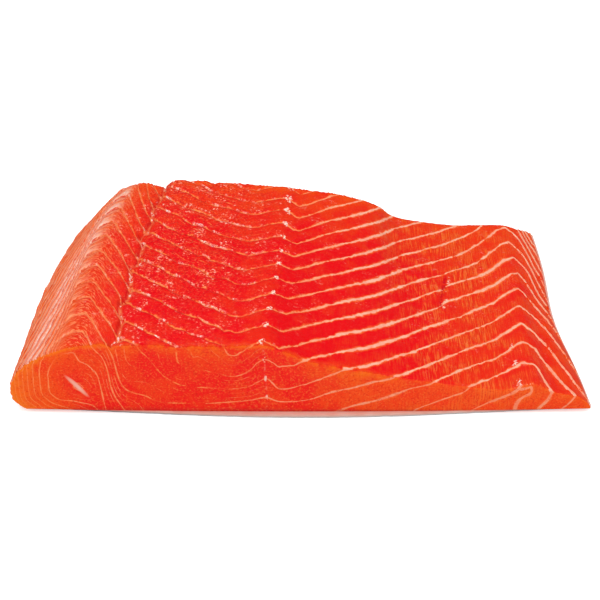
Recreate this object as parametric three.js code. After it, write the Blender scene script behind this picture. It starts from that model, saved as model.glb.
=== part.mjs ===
// Raw salmon fillet: a block cut from one side of the fish, lying on its skin.
//
// Millimetres, +Z up. X runs across the fish, from the thick back (-X) to the thin belly (+X).
// Y runs along the fish, from the front cut (-Y) to the rear cut (+Y). The skin rests on Z = 0.
//
// The flesh is a stack of flakes. Thin walls part them, one about every 9 mm along the fish, and on
// the surface each wall draws the same folded line from the back to the belly. So the mesh is woven
// from the flakes themselves: its columns run along the fish through named stations of the cross
// section, and its rows follow the walls, sinking where a wall meets the surface and stepping where
// the flakes overlap like leaves on the steep side of the back.

import * as THREE from "three";
import { mergeVertices } from "three/addons/utils/BufferGeometryUtils.js";

// ---- Driving dimensions, millimetres ----

const LENGTH = 100; // from the front cut to the rear cut
const HALF_LENGTH = LENGTH / 2;
const HALF_WIDTH = 90; // only sets how the front cut bows out
const SKIN_THICKNESS = 1.2;
const FRONT_BOW = 1.5; // the front cut is this much fuller in its middle
const BACK_SWELL = 3.5; // the thick side swells outward between the two cuts
const SWELL_SKEW = 1.3; // above 1, the swell is fullest behind the middle
const REAR_TUCK = 2; // the steep side draws in just before the rear cut
const REAR_TUCK_FROM = 43; // y where it starts to
const BELLY_DENT = 2.6; // a soft dent in the thin edge
const BELLY_DENT_Y = -4;
const BELLY_DENT_REACH = 24;
const NICK_DEPTH = 2.2; // a notch that the rear cut shows beside the groove
const NICK_REACH_ALONG = 9;
const NICK_REACH_ACROSS = 0.45; // in stations
const GROOVE_DEPTH = 0.7; // the crease along the fish between the shoulder and the loin
const LEAF_STEP = 0.9; // how far one flake stands over the next on the steep side
const WALL_DIP = 0.35; // how deep a wall lies under the flakes on the top
const SKIN_LIP = 1.6; // the skin shows this far in front of the flesh, at the middle
const SKIN_RECESS = 1.7; // and hides this far under it at both ends of the front cut
const SKIN_LIP_SHARPNESS = 1.5; // above 1, the lip is narrower
const SKIN_SIDE_LIP = 0.7;
const SKIN_REAR_LIP = 0.4;

// Stations of the cross section, from the foot of the thick side over the top to the thin edge.
// front and rear are [x, z] at the two cuts. wall is the number of the wall that meets the front cut
// there, counted from the tail side, and spacing is how far apart the walls lie along the fish.
const STATIONS = [
  { name: "foot", front: [-84.5, 1.2], rear: [-75.5, 1.2], wall: 9.7, spacing: 9.2 },
  { name: "heel", front: [-87.6, 3.6], rear: [-77.4, 3.2], wall: 9.0, spacing: 9.2 },
  { name: "widest", front: [-88.9, 8.1], rear: [-77.6, 6.9], wall: 8.3, spacing: 9.2 },
  { name: "side", front: [-86.8, 14.4], rear: [-73.5, 11.5], wall: 10.0, spacing: 9.2 },
  { name: "upper side", front: [-82.0, 19.3], rear: [-69.3, 16.5], wall: 13.2, spacing: 9.2 },
  { name: "shoulder", front: [-75.0, 23.3], rear: [-65.5, 20.6], wall: 15.4, spacing: 9.2 },
  { name: "crest", front: [-67.0, 25.6], rear: [-60.0, 22.8], wall: 15.9, spacing: 9.3 },
  { name: "shoulder fall", front: [-60.5, 26.6], rear: [-56.0, 23.6], wall: 14.6, spacing: 9.7 },
  { name: "groove", front: [-54.0, 26.8], rear: [-51.5, 23.8], wall: 13.5, spacing: 9.2 },
  { name: "loin edge", front: [-46.0, 26.6], rear: [-45.5, 24.9], wall: 12.8, spacing: 8.8 },
  { name: "loin", front: [-36.0, 26.1], rear: [-36.0, 24.4], wall: 12.0, spacing: 8.8 },
  { name: "loin fall", front: [-27.0, 26.1], rear: [-26.0, 23.7], wall: 11.3, spacing: 8.8 },
  { name: "left valley", front: [-19.0, 26.4], rear: [-16.0, 22.8], wall: 10.8, spacing: 8.9 },
  { name: "centre line", front: [-11.0, 26.8], rear: [-5.5, 21.8], wall: 11.2, spacing: 9.0 },
  { name: "right valley", front: [-6.0, 24.8], rear: [1.0, 20.8], wall: 11.15, spacing: 8.5 },
  { name: "loin brink", front: [2.0, 20.9], rear: [11.5, 19.3], wall: 12.05, spacing: 8.8 },
  { name: "fall", front: [10.0, 18.8], rear: [21.0, 16.9], wall: 12.7, spacing: 9.1 },
  { name: "fall foot", front: [22.0, 16.1], rear: [28.2, 14.0], wall: 13.5, spacing: 9.3 },
  { name: "slope", front: [36.0, 13.3], rear: [35.5, 9.0], wall: 14.6, spacing: 9.6 },
  { name: "lower slope", front: [52.0, 10.4], rear: [53.0, 5.9], wall: 16.0, spacing: 9.6 },
  { name: "hollow", front: [62.5, 9.2], rear: [63.5, 5.7], wall: 16.7, spacing: 9.9 },
  { name: "ridge", front: [71.0, 11.2], rear: [73.5, 5.7], wall: 17.1, spacing: 10.8 },
  { name: "belly", front: [78.0, 7.6], rear: [79.0, 4.2], wall: 16.2, spacing: 10.6 },
  { name: "lower belly", front: [84.4, 6.3], rear: [82.8, 3.0], wall: 15.0, spacing: 8.8 },
  { name: "thin edge", front: [89.4, 2.6], rear: [85.0, 1.8], wall: 14.2, spacing: 8.4 },
  { name: "edge foot", front: [89.6, 1.2], rear: [85.0, 1.2], wall: 14.0, spacing: 8.4 },
];
const LAST = STATIONS.length - 1;
const SIDE = STATIONS.findIndex((station) => station.name === "side");
const CREST = STATIONS.findIndex((station) => station.name === "crest");
const GROOVE = STATIONS.findIndex((station) => station.name === "groove");
const MIDDLE_STATION = STATIONS.findIndex((station) => station.name === "right valley");
const NICK = GROOVE + 0.5;

// ---- Mesh density ----

const COLUMNS_PER_STATION = 2;
const SIDE_COLUMNS_PER_STATION = 3; // the steep side bends more
const ROWS_IN_FLAKE = [0, 0.13, 0.5, 0.87]; // the first row lies in the wall itself
const FIRST_WALL = -4;
const LAST_WALL = 18;
const SNAP_TO_CUT = 0.35; // a row that ends this near a cut lies on it

// ---- Small helpers ----

const clamp = THREE.MathUtils.clamp;
const lerp = THREE.MathUtils.lerp;
const smoothstep = THREE.MathUtils.smoothstep;
const bell = (distance) => Math.exp(-distance * distance);

// A smooth curve (Catmull-Rom) through one value for each station, read at s = 0 to LAST.
function alongStations(values, s) {
  const i = clamp(Math.floor(s), 0, LAST - 1);
  const f = s - i;
  const at = (k) => values[clamp(k, 0, LAST)];
  const [a, b, c, d] = [at(i - 1), at(i), at(i + 1), at(i + 2)];
  const rise = (c - a) / 2;
  const nextRise = (d - b) / 2;
  const square = 3 * (c - b) - 2 * rise - nextRise;
  const cube = 2 * (b - c) + rise + nextRise;
  return b + rise * f + square * f * f + cube * f * f * f;
}

const FRONT_X = STATIONS.map((station) => station.front[0]);
const FRONT_Z = STATIONS.map((station) => station.front[1]);
const REAR_X = STATIONS.map((station) => station.rear[0]);
const REAR_Z = STATIONS.map((station) => station.rear[1]);
const WALLS = STATIONS.map((station) => station.wall);
const SPACINGS = STATIONS.map((station) => station.spacing);

// ---- The form of the flesh ----

const share = (y) => (y + HALF_LENGTH) / LENGTH; // 0 at the front cut, 1 at the rear cut
const swellAt = (s) => 1 - smoothstep(s, CREST, GROOVE + 1);
const dentAt = (s) => smoothstep(s, LAST - 4, LAST - 1);

// How far the front cut bows out at x, fading to nothing at the rear cut.
function bow(x, y) {
  return FRONT_BOW * Math.max(0, 1 - (x / HALF_WIDTH) ** 2) * (1 - share(y));
}

// The bare outline of the cross section at station s, y along the fish, before any relief.
function outline(s, y) {
  const t = share(y);
  const swell = BACK_SWELL * swellAt(s) * Math.sin(Math.PI * t ** SWELL_SKEW);
  const dent = BELLY_DENT * dentAt(s) * bell((y - BELLY_DENT_Y) / BELLY_DENT_REACH);
  const tuck = REAR_TUCK * bell((s - SIDE) / 2) * smoothstep(y, REAR_TUCK_FROM, HALF_LENGTH);
  const x = lerp(alongStations(FRONT_X, s), alongStations(REAR_X, s), t) - swell - dent + tuck;
  const z = lerp(alongStations(FRONT_Z, s), alongStations(REAR_Z, s), t);
  return new THREE.Vector2(x, z);
}

// The way out of the surface, across the fish.
function outward(s, y) {
  const step = 0.2;
  const before = outline(Math.max(0, s - step), y);
  const after = outline(Math.min(LAST, s + step), y);
  return new THREE.Vector2(before.y - after.y, after.x - before.x).normalize();
}

// The walls' relief. inWall is true on a wall's own row. part is the place within the flake, and it
// grows towards the front cut. On the steep side each flake's front end stands over the next flake.
function relief(s, y, inWall, part) {
  const steep = 1 - smoothstep(s, CREST - 1.5, CREST + 1);
  const leaf = LEAF_STEP * steep * (inWall ? -0.7 : part - 0.4);
  const dip = inWall ? -WALL_DIP * (1 - steep) : 0;
  const crease = -GROOVE_DEPTH * bell((s - GROOVE) / 0.5);
  const nick = -NICK_DEPTH * bell((s - NICK) / NICK_REACH_ACROSS) * bell((y - HALF_LENGTH) / NICK_REACH_ALONG);
  const atRim = smoothstep(s, 0, 1) * (1 - smoothstep(s, LAST - 2, LAST - 1)); // the rim on the skin stays flat
  return atRim * (leaf + dip + crease + nick);
}

// Where wall number w crosses station s, along the fish, held between the two cuts.
function alongFish(s, w) {
  const y = -HALF_LENGTH + (alongStations(WALLS, s) - w) * alongStations(SPACINGS, s);
  if (y < -HALF_LENGTH + SNAP_TO_CUT) return -HALF_LENGTH;
  if (y > HALF_LENGTH - SNAP_TO_CUT) return HALF_LENGTH;
  return y;
}

function surfacePoint(s, y, inWall, part) {
  const place = outline(s, y).addScaledVector(outward(s, y), relief(s, y, inWall, part));
  return new THREE.Vector3(place.x, y - bow(place.x, y), place.y);
}

// A point on a cut's own rim has the relief of the wall nearest to it.
function rowPoint(s, w, part) {
  const y = alongFish(s, w + part);
  if (Math.abs(y) < HALF_LENGTH) return surfacePoint(s, y, part === 0, part);
  return rimPoint(s, y);
}

function rimPoint(s, y) {
  const here = alongStations(WALLS, s) - (y + HALF_LENGTH) / alongStations(SPACINGS, s);
  const part = here - Math.floor(here);
  return surfacePoint(s, y, Math.min(part, 1 - part) < 0.08, part);
}

// The foot of each station under the flesh: fanned out evenly under the steep side.
function footPoint(s, y) {
  const crestX = outline(CREST, y).x;
  const x = s < CREST ? lerp(outline(0, y).x, crestX, s / CREST) : outline(s, y).x;
  return new THREE.Vector3(x, y - bow(x, y), SKIN_THICKNESS);
}

// ---- Building closed meshes ----

// Collects triangles and drops those that a cut has closed up.
class Sheet {
  constructor() {
    this.positions = [];
  }

  triangle(a, b, c) {
    const tiny = 1e-5;
    if (a.distanceTo(b) < tiny || b.distanceTo(c) < tiny || c.distanceTo(a) < tiny) return;
    for (const point of [a, b, c]) this.positions.push(point.x, point.y, point.z);
  }

  // Splits a four-sided cell along its shorter diagonal.
  cell(a, b, c, d) {
    if (a.distanceTo(c) < b.distanceTo(d)) {
      this.triangle(a, b, c);
      this.triangle(a, c, d);
    } else {
      this.triangle(a, b, d);
      this.triangle(b, c, d);
    }
  }

  geometry() {
    const loose = new THREE.BufferGeometry();
    loose.setAttribute("position", new THREE.Float32BufferAttribute(this.positions, 3));
    const closed = mergeVertices(loose, 1e-4);
    closed.computeVertexNormals();
    return closed;
  }
}

function stationColumns() {
  const columns = [];
  for (let i = 0; i < LAST; i += 1) {
    const count = i < CREST ? SIDE_COLUMNS_PER_STATION : COLUMNS_PER_STATION;
    for (let k = 0; k < count; k += 1) columns.push(i + k / count);
  }
  columns.push(LAST);
  return columns;
}

function flakeRows() {
  const rows = [];
  for (let wall = LAST_WALL; wall >= FIRST_WALL; wall -= 1) {
    for (const part of [...ROWS_IN_FLAKE].reverse()) rows.push({ wall, part });
  }
  return rows; // from the front cut to the rear cut
}

function makeFlesh() {
  const columns = stationColumns();
  const rows = flakeRows();
  const sheet = new Sheet();
  const net = columns.map((s) => rows.map(({ wall, part }) => rowPoint(s, wall, part)));

  // The sides and the top.
  for (let i = 0; i + 1 < columns.length; i += 1) {
    for (let j = 0; j + 1 < rows.length; j += 1) {
      sheet.cell(net[i][j], net[i + 1][j], net[i + 1][j + 1], net[i][j + 1]);
    }
  }

  // The two cuts, each a strip of upright cells from the foot to the rim.
  const feet = (y) => columns.map((s) => footPoint(s, y));
  const [frontFeet, rearFeet] = [feet(-HALF_LENGTH), feet(HALF_LENGTH)];
  for (let i = 0; i + 1 < columns.length; i += 1) {
    const [s, next] = [columns[i], columns[i + 1]];
    const [front, rear] = [-HALF_LENGTH, HALF_LENGTH];
    sheet.cell(frontFeet[i], frontFeet[i + 1], rimPoint(next, front), rimPoint(s, front));
    sheet.cell(rearFeet[i + 1], rearFeet[i], rimPoint(s, rear), rimPoint(next, rear));
  }

  // The flat underside: a fan from its middle to the loop of all the points that lie on the skin.
  const edge = net[columns.length - 1];
  const loop = [...frontFeet, ...edge, ...[...rearFeet].reverse(), ...[...net[0]].reverse()];
  const hub = footPoint(MIDDLE_STATION, 0);
  loop.forEach((point, k) => sheet.triangle(hub, loop[(k + 1) % loop.length], point));
  return sheet.geometry();
}

// The skin: a thin plate under the flesh that shows as a pale line along the cuts.
function makeSkin() {
  const steps = 16;
  const shares = Array.from({ length: steps + 1 }, (_, k) => k / steps);
  const footLine = (y) => outline(0, y).x;
  const edgeLine = (y) => outline(LAST, y).x + SKIN_SIDE_LIP;
  const frontEdge = shares.map((share01) => {
    const x = lerp(footLine(-HALF_LENGTH), edgeLine(-HALF_LENGTH), share01);
    const swell = Math.sin(Math.PI * share01) ** SKIN_LIP_SHARPNESS;
    const lip = (SKIN_LIP + SKIN_RECESS) * swell - SKIN_RECESS;
    return new THREE.Vector2(x, -HALF_LENGTH - bow(x, -HALF_LENGTH) - lip);
  });
  const side = (line, y) => new THREE.Vector2(line(y), y);
  const ys = shares.slice(1).map((share01) => lerp(-HALF_LENGTH, HALF_LENGTH + SKIN_REAR_LIP, share01));
  const bellySide = ys.map((y) => side(edgeLine, y));
  const backSide = ys.map((y) => side(footLine, y)).reverse();
  const plate = new THREE.Shape([...frontEdge, ...bellySide, ...backSide]);
  return new THREE.ExtrudeGeometry(plate, { depth: SKIN_THICKNESS, bevelEnabled: false });
}

// ---- The fillet ----

function piece(name, geometry, color, roughness) {
  const material = new THREE.MeshStandardMaterial({ color, roughness, metalness: 0 });
  const mesh = new THREE.Mesh(geometry, material);
  mesh.name = name;
  return mesh;
}

const fillet = new THREE.Group();
fillet.add(piece("flesh", makeFlesh(), 0xee4522, 0.3));
fillet.add(piece("skin", makeSkin(), 0xb8b4ae, 0.4));

// The origin is under the middle of the whole piece.
const middle = new THREE.Box3().setFromObject(fillet).getCenter(new THREE.Vector3());
for (const mesh of fillet.children) mesh.position.set(-middle.x, -middle.y, 0);

export default fillet;
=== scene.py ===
# %% [markdown]
# # A raw salmon fillet
#
# This is a block cut crosswise from one side of a salmon, lying on its skin. The fish's muscle is a
# stack of flakes, and thin pale walls of fat and gristle part them. On the top the walls draw folded
# lines, and at the knife cuts they draw rings and arcs. The lesson builds the flesh as one closed
# mesh that is woven along those walls, then the skin under it, and then the wet, fatty look.
#
# Everything here is made in the same place and size.

from math import radians

import bmesh
import bpy
import numpy as np
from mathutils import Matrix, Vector, noise


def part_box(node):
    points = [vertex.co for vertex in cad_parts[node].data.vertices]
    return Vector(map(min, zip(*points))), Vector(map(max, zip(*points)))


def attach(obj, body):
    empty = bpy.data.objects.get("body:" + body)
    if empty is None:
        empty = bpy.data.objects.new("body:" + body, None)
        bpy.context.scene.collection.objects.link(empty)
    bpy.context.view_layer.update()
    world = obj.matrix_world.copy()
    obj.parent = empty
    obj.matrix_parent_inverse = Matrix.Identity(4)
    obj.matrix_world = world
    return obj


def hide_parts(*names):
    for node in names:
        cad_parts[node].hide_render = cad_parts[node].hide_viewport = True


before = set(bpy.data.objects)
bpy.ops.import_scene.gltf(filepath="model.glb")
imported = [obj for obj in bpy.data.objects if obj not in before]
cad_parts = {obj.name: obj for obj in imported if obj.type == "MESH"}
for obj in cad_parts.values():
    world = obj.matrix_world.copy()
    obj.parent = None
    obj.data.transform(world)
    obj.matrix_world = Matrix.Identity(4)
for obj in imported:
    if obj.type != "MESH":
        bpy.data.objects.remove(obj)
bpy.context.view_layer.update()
MM = 0.001  # one millimetre in Blender's metres

# %% [markdown]
# ## The shape in numbers
#
# The cross section is drawn through named stations, from the foot of the thick back over the top to
# the thin belly edge. Each has its place at the front cut and at the rear cut. It also has the
# number of the wall that reaches the front cut there, read at four depths from the surface down to
# the skin. A whole number is a wall, and what lies between two whole numbers is a flake. One field
# of numbers then draws every wall, on the top as on the cuts. Separate curves for each wall were the
# other way, but they would never meet so well at the edges.

# %% Stations of the cross section, millimetres
HALF_LENGTH = 50
SKIN_THICKNESS = 1.2
STATIONS = [  # name, front (x, z), rear (x, z), wall spacing along the fish, walls at four depths
    ("foot", (-84.5, 1.2), (-75.5, 1.2), 9.2, (9.7, 9.7, 9.7, 9.7)),
    ("heel", (-87.6, 3.6), (-77.4, 3.2), 9.2, (9.0, 10.3, 11.0, 11.7)),
    ("widest", (-88.9, 8.1), (-77.6, 6.9), 9.2, (8.3, 10.2, 11.8, 12.9)),
    ("side", (-86.8, 14.4), (-73.5, 11.5), 9.2, (10.0, 12.0, 13.3, 13.7)),
    ("upper side", (-82.0, 19.3), (-69.3, 16.5), 9.2, (13.2, 15.0, 15.2, 14.4)),
    ("shoulder", (-75.0, 23.3), (-65.5, 20.6), 9.2, (15.4, 16.5, 16.4, 15.05)),
    ("crest", (-67.0, 25.6), (-60.0, 22.8), 9.3, (15.9, 16.2, 17.05, 15.5)),
    ("shoulder fall", (-60.5, 26.6), (-56.0, 23.6), 9.7, (14.6, 15.6, 15.95, 16.05)),
    ("groove", (-54.0, 26.8), (-51.5, 23.8), 9.2, (13.5, 13.6, 14.1, 15.0)),
    ("loin edge", (-46.0, 26.6), (-45.5, 24.9), 8.8, (12.8, 13.2, 13.8, 14.2)),
    ("loin", (-36.0, 26.1), (-36.0, 24.4), 8.8, (12.0, 12.1, 13.3, 14.3)),
    ("loin fall", (-27.0, 26.1), (-26.0, 23.7), 8.8, (11.3, 11.8, 13.1, 14.4)),
    ("left valley", (-19.0, 26.4), (-16.0, 22.8), 8.9, (10.8, 11.5, 13.1, 14.6)),
    ("centre line", (-11.0, 26.8), (-5.5, 21.8), 9.0, (11.2, 12.45, 13.5, 14.75)),
    ("right valley", (-6.0, 24.8), (1.0, 20.8), 8.5, (11.15, 12.25, 13.15, 14.75)),
    ("loin brink", (2.0, 20.9), (11.5, 19.3), 8.8, (12.05, 12.7, 13.6, 14.8)),
    ("fall", (10.0, 18.8), (21.0, 16.9), 9.1, (12.7, 13.35, 14.25, 14.95)),
    ("fall foot", (22.0, 16.1), (28.2, 14.0), 9.3, (13.5, 14.2, 14.85, 15.45)),
    ("slope", (36.0, 13.3), (35.5, 9.0), 9.6, (14.6, 15.2, 15.65, 16.05)),
    ("lower slope", (52.0, 10.4), (53.0, 5.9), 9.6, (16.0, 16.2, 16.6, 16.95)),
    ("hollow", (62.5, 9.2), (63.5, 5.7), 9.9, (16.7, 16.95, 17.2, 17.3)),
    ("ridge", (71.0, 11.2), (73.5, 5.7), 10.8, (17.1, 17.04, 16.6, 16.35)),
    ("belly", (78.0, 7.6), (79.0, 4.2), 10.6, (16.2, 15.9, 15.65, 15.35)),
    ("lower belly", (84.4, 6.3), (82.8, 3.0), 8.8, (15.0, 14.9, 14.75, 14.6)),
    ("thin edge", (89.4, 2.6), (85.0, 1.8), 8.4, (14.2, 14.1, 14.1, 14.0)),
    ("edge foot", (89.6, 1.2), (85.0, 1.2), 8.4, (14.0, 14.0, 14.0, 14.0)),
]
NAMES = [station[0] for station in STATIONS]
LAST = len(STATIONS) - 1
SIDE, CREST, GROOVE, LOIN, CENTRE, FALL_FOOT, SLOPE, RIDGE = (NAMES.index(name) for name in (
    "side", "crest", "groove", "loin", "centre line", "fall foot", "slope", "ridge"))
FRONT = np.array([station[1] for station in STATIONS])
REAR = np.array([station[2] for station in STATIONS])
SPACING = np.array([station[3] for station in STATIONS])
WALLS = np.array([station[4] for station in STATIONS])
print(len(STATIONS), "stations; the flakes are", SPACING.min(), "to", SPACING.max(), "mm thick")

# %% Smooth curves through the stations
SHARP_FOLDS, FOLD_REACH = ("ridge", "centre line", "right valley"), 0.9


def bell(x):
    return np.exp(-x * x)


def smoothstep(x, low, high):
    t = np.clip((x - low) / (high - low), 0, 1)
    return t * t * (3 - 2 * t)


def spline(a, b, c, d, f):
    """A Catmull-Rom curve from b to c, at share f of the way."""
    rise, next_rise = (c - a) / 2, (d - b) / 2
    square = 3 * (c - b) - 2 * rise - next_rise
    cube = 2 * (b - c) + rise + next_rise
    return b + rise * f + square * f**2 + cube * f**3


def along(values, s):
    """The values, one for each station, read at station number s, which may lie between two."""
    values, end = np.asarray(values, float), len(values) - 1
    i = np.clip(np.floor(s).astype(int), 0, end - 1)
    return spline(*(values[np.clip(i + k, 0, end)] for k in (-1, 0, 1, 2)), s - i)


def along_folded(values, s):
    """As along, but with a sharp fold at the stations where the walls turn sharply."""
    folded = np.clip(sum(bell((s - NAMES.index(name)) / FOLD_REACH) for name in SHARP_FOLDS), 0, 1)
    return along(values, s) * (1 - folded) + np.interp(s, np.arange(len(values)), values) * folded


def by_station(s, **values):
    """Straight lines through values that are given for some stations by name."""
    known = {NAMES.index(name.replace("_", " ")): value for name, value in values.items()}
    places = sorted(known)
    return np.interp(s, places, [known[place] for place in places])


halfway = [round(float(along(FRONT[:, k], np.float64(CREST + 0.5))), 1) for k in (0, 1)]
print("halfway from the crest to the shoulder fall the front cut's rim is at", halfway, "mm")

# %% [markdown]
# The bare outline runs straight from the front cut to the rear cut, but for a swell of the thick
# back, a tuck at its rear corner, a bow of the front cut and a soft dent in the belly edge. The
# construction model uses the same formulas, so the two agree, and this one only adds finer relief.

# %% The bare outline
FRONT_BOW, HALF_WIDTH = 1.5, 90
BACK_SWELL, SWELL_SKEW = 3.5, 1.3
BELLY_DENT, BELLY_DENT_Y, BELLY_DENT_REACH = 2.6, -4, 24
REAR_TUCK, REAR_TUCK_FROM = 2, 43


def share(y):
    """0 at the front cut, 1 at the rear cut."""
    return (y + HALF_LENGTH) / (2 * HALF_LENGTH)


def bow(x, y):
    """How far the front cut stands out at x."""
    return FRONT_BOW * np.clip(1 - (x / HALF_WIDTH) ** 2, 0, None) * (1 - share(y))


def outline(s, y):
    """x and z of the surface at station s, y along the fish, before any relief."""
    t = share(y)
    x, z = ((1 - t) * along(FRONT[:, k], s) + t * along(REAR[:, k], s) for k in (0, 1))
    swell = BACK_SWELL * np.sin(np.pi * np.clip(t, 0, 1) ** SWELL_SKEW)
    swell = swell * (1 - smoothstep(s, CREST, GROOVE + 1))
    dent = BELLY_DENT * smoothstep(s, LAST - 4, LAST - 1) * bell((y - BELLY_DENT_Y) / BELLY_DENT_REACH)
    tuck = REAR_TUCK * bell((s - SIDE) / 2) * smoothstep(y, REAR_TUCK_FROM, HALF_LENGTH)
    return x - swell - dent + tuck, z


def outward(s, y, step=0.2):
    """The way out of the surface across the fish, as x and z."""
    x0, z0 = outline(np.clip(s - step, 0, LAST), y)
    x1, z1 = outline(np.clip(s + step, 0, LAST), y)
    length = np.hypot(x1 - x0, z1 - z0)
    return (z0 - z1) / length, (x1 - x0) / length


middle_x, _ = outline(np.linspace(0, LAST, 200), np.zeros(200))
print("halfway along the fish the block is", round(middle_x.max() - middle_x.min(), 1), "mm wide")

# %% [markdown]
# Real walls are never quite even, so each wanders a little to and fro. Beside the belly a gash has
# let the flakes slip past each other by a fraction of their thickness. A crease parts the thick
# back from the loin. Below, places across the fish are in stations, steps through the muscle in
# flakes, and y in millimetres along the fish.

# %% The gash and the crease
GASH_STATION, GASH_LEAN, GASH_SLIP = SLOPE + 0.69, 0.0103, 0.2
GASH_OPENS, GASH_CLOSES = (-12, -4), (11, 18)
CREASE_STATION, CREASE_DRIFT, CREASE_DRIFT_POWER, CREASE_ZIGZAG = GROOVE - 0.16, 0.72, 1.8, 0.14
CREASE_DRAG, CREASE_DRAG_REACH = 0.4, 0.22


def gash_station(y):
    """The gash runs nearly straight along the fish, just past the slope's station."""
    return GASH_STATION + GASH_LEAN * y


def gash_here(y):
    """1 where the gash is open, 0 past its ends."""
    return smoothstep(y, *GASH_OPENS) * (1 - smoothstep(y, *GASH_CLOSES))


def slip(s, y):
    """Past the gash the flakes lie further along the fish, and join up again towards the ridge."""
    past = s - gash_station(y)
    return GASH_SLIP * smoothstep(past, -0.03, 0.03) * (1 - smoothstep(past, 0.2, 1.8)) * gash_here(y)


def crease_station(y, flake):
    """The crease drifts towards the loin and starts afresh at each wall, so it runs in a zigzag."""
    waves = 0.12 * np.sin(flake * 2.6) + 0.06 * np.sin(flake * 5.3 + 1)
    zigzag = CREASE_ZIGZAG * (0.5 - flake % 1)
    return CREASE_STATION + CREASE_DRIFT * share(y) ** CREASE_DRIFT_POWER + zigzag + waves


def drag(s, y, flake):
    """On the shoulder's side the walls bend along the crease before they meet it."""
    before = crease_station(y, flake) - s
    return -CREASE_DRAG * np.exp(-np.abs(before) / CREASE_DRAG_REACH) * (before > 0)


print("the gash is", GASH_CLOSES[1] - GASH_OPENS[0], "mm long with its ends")

# %% The field of wall numbers
WANDER, FINE_WANDER, LOIN_WANDER = 0.06, 0.05, 0.24
CENTRE_DRIFT = 0.16
FAN_WIDENS, FAN_NARROWS, FAN_MIDDLE = 1.9, 0.5, 8
FOLD_PAST_RIDGE, FOLD_BULGE, FOLD_PULL = 0.2, 0.3, 0.8
FLAT_TOP, TURN_BACK, VALLEY_LIFT = 0.5, 0.22, 0.18
WANDER_ROUNDS, CROSSING_ROUNDS, FOLLOWED = 3, 12, 60


def soft_noise(*coordinates):
    """Smooth noise from -1 to 1 over arrays of coordinates, one cell of noise to each unit."""
    arrays = np.broadcast_arrays(*coordinates)
    points = np.stack([array.ravel() for array in arrays], axis=1)
    points = np.hstack([points, np.zeros((len(points), 3 - points.shape[1]))])
    return np.array([noise.noise(Vector(point)) for point in points]).reshape(arrays[0].shape)


def wander(s, flake):
    """How far the walls stray, most of all on the loin."""
    coarse = WANDER * soft_noise(s * 0.9, flake * 1.7)
    fine = FINE_WANDER * soft_noise(s * 4.5, flake * 1.9, 0 * s + 8)
    loose = LOIN_WANDER * bell((s - LOIN - 0.3) / 1.5) * soft_noise(s * 1.9, flake * 1.3, 0 * s + 4)
    return coarse + fine + loose


def centre_drift(y):
    """How far the folds of the centre line stray from their stations towards the belly."""
    return CENTRE_DRIFT * np.sin(np.pi * np.clip(share(y), 0, 1))


def belly_fan(s, y):
    """Beyond the ridge the walls fan out, least so at the front cut, and then run along the edge."""
    widened = FAN_WIDENS * smoothstep(y, -HALF_LENGTH, -FAN_MIDDLE)
    narrowed = FAN_NARROWS * smoothstep(y, -FAN_MIDDLE, FAN_MIDDLE)
    return (widened - narrowed) * smoothstep(s, RIDGE + 0.2, RIDGE + 2.5)


def bare_wall(s, y):
    """The wall number at station s, led back to the front cut. The folds stray from their stations."""
    from_front = y + HALF_LENGTH
    near_front = np.exp(-from_front / 22)
    fold = FOLD_PAST_RIDGE + FOLD_BULGE * bell((y - 20) / 14) - FOLD_PULL * near_front
    shifted = s - fold * bell((s - RIDGE) / 1.1) - centre_drift(y) * bell((s - CENTRE - 0.2) / 1.2)
    flat_top = FLAT_TOP * near_front * bell((s - RIDGE - fold - 0.6) / 0.35)
    turned_back = TURN_BACK * np.exp(-from_front / 2) * bell((s - RIDGE + 0.3) / 0.7)
    valley_lift = VALLEY_LIFT * smoothstep(y, -48, -25) * bell((s - CENTRE - 1.1) / 0.9)
    return along_folded(WALLS[:, 0], shifted) + flat_top - turned_back + valley_lift + belly_fan(s, y)


def flake_at(s, y):
    """The wall number at the surface. The wander depends on it, so it is found in rounds."""
    bare = bare_wall(s, y) - (y + HALF_LENGTH) / along(SPACING, s)
    flake = bare
    for _ in range(WANDER_ROUNDS):
        flake = bare + wander(s, flake)
    return flake


def along_fish(s, flake):
    """Where wall number flake crosses station s, along the fish, found in rounds."""
    y, spacing, strayed = 0 * s, along(SPACING, s), wander(s, flake) - flake
    for _ in range(CROSSING_ROUNDS):
        y = -HALF_LENGTH + (bare_wall(s, np.clip(y, -FOLLOWED, FOLLOWED)) + strayed) * spacing
    return y


centre_ends = flake_at(np.array([CENTRE, CENTRE]), np.array([-HALF_LENGTH, HALF_LENGTH]))
print("wall numbers on the centre line at the front and the rear:", centre_ends.round(1))

# %% [markdown]
# Inside the front cut the numbers come from the four depths of each station. At the thick end the
# walls close to rings round a seed of fat, so there a number comes from the distance to the seed.
# The rear cut repeats the front one, moved on by as many walls as the block is long.

# %% Wall numbers in the cuts
CENTRE_LEAN = 0.14  # stations that the centre line leans towards the belly on its way down to the skin
RING_CENTRE, RING_CENTRE_WALL = (-68.0, 10.5), 17.3  # x, z in millimetres
RING_CROWDING = 2.2  # above 1, the rings crowd towards the rim
RING_RIM_END, RING_FOOT_END, RING_STEPS = 5, 6, 101  # the stations where the rings' edge is read
RINGS_FADE = (4, 6)


def foot_point(s, y):
    """The foot of each station on the skin, fanned out evenly under the steep side."""
    foot_x, crest_x, here_x = outline(0 * s, y)[0], outline(0 * s + CREST, y)[0], outline(s, y)[0]
    x = np.where(s < CREST, foot_x + (crest_x - foot_x) * s / CREST, here_x)
    return np.stack([x, y - bow(x, y), 0 * x + SKIN_THICKNESS], axis=-1)


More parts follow.
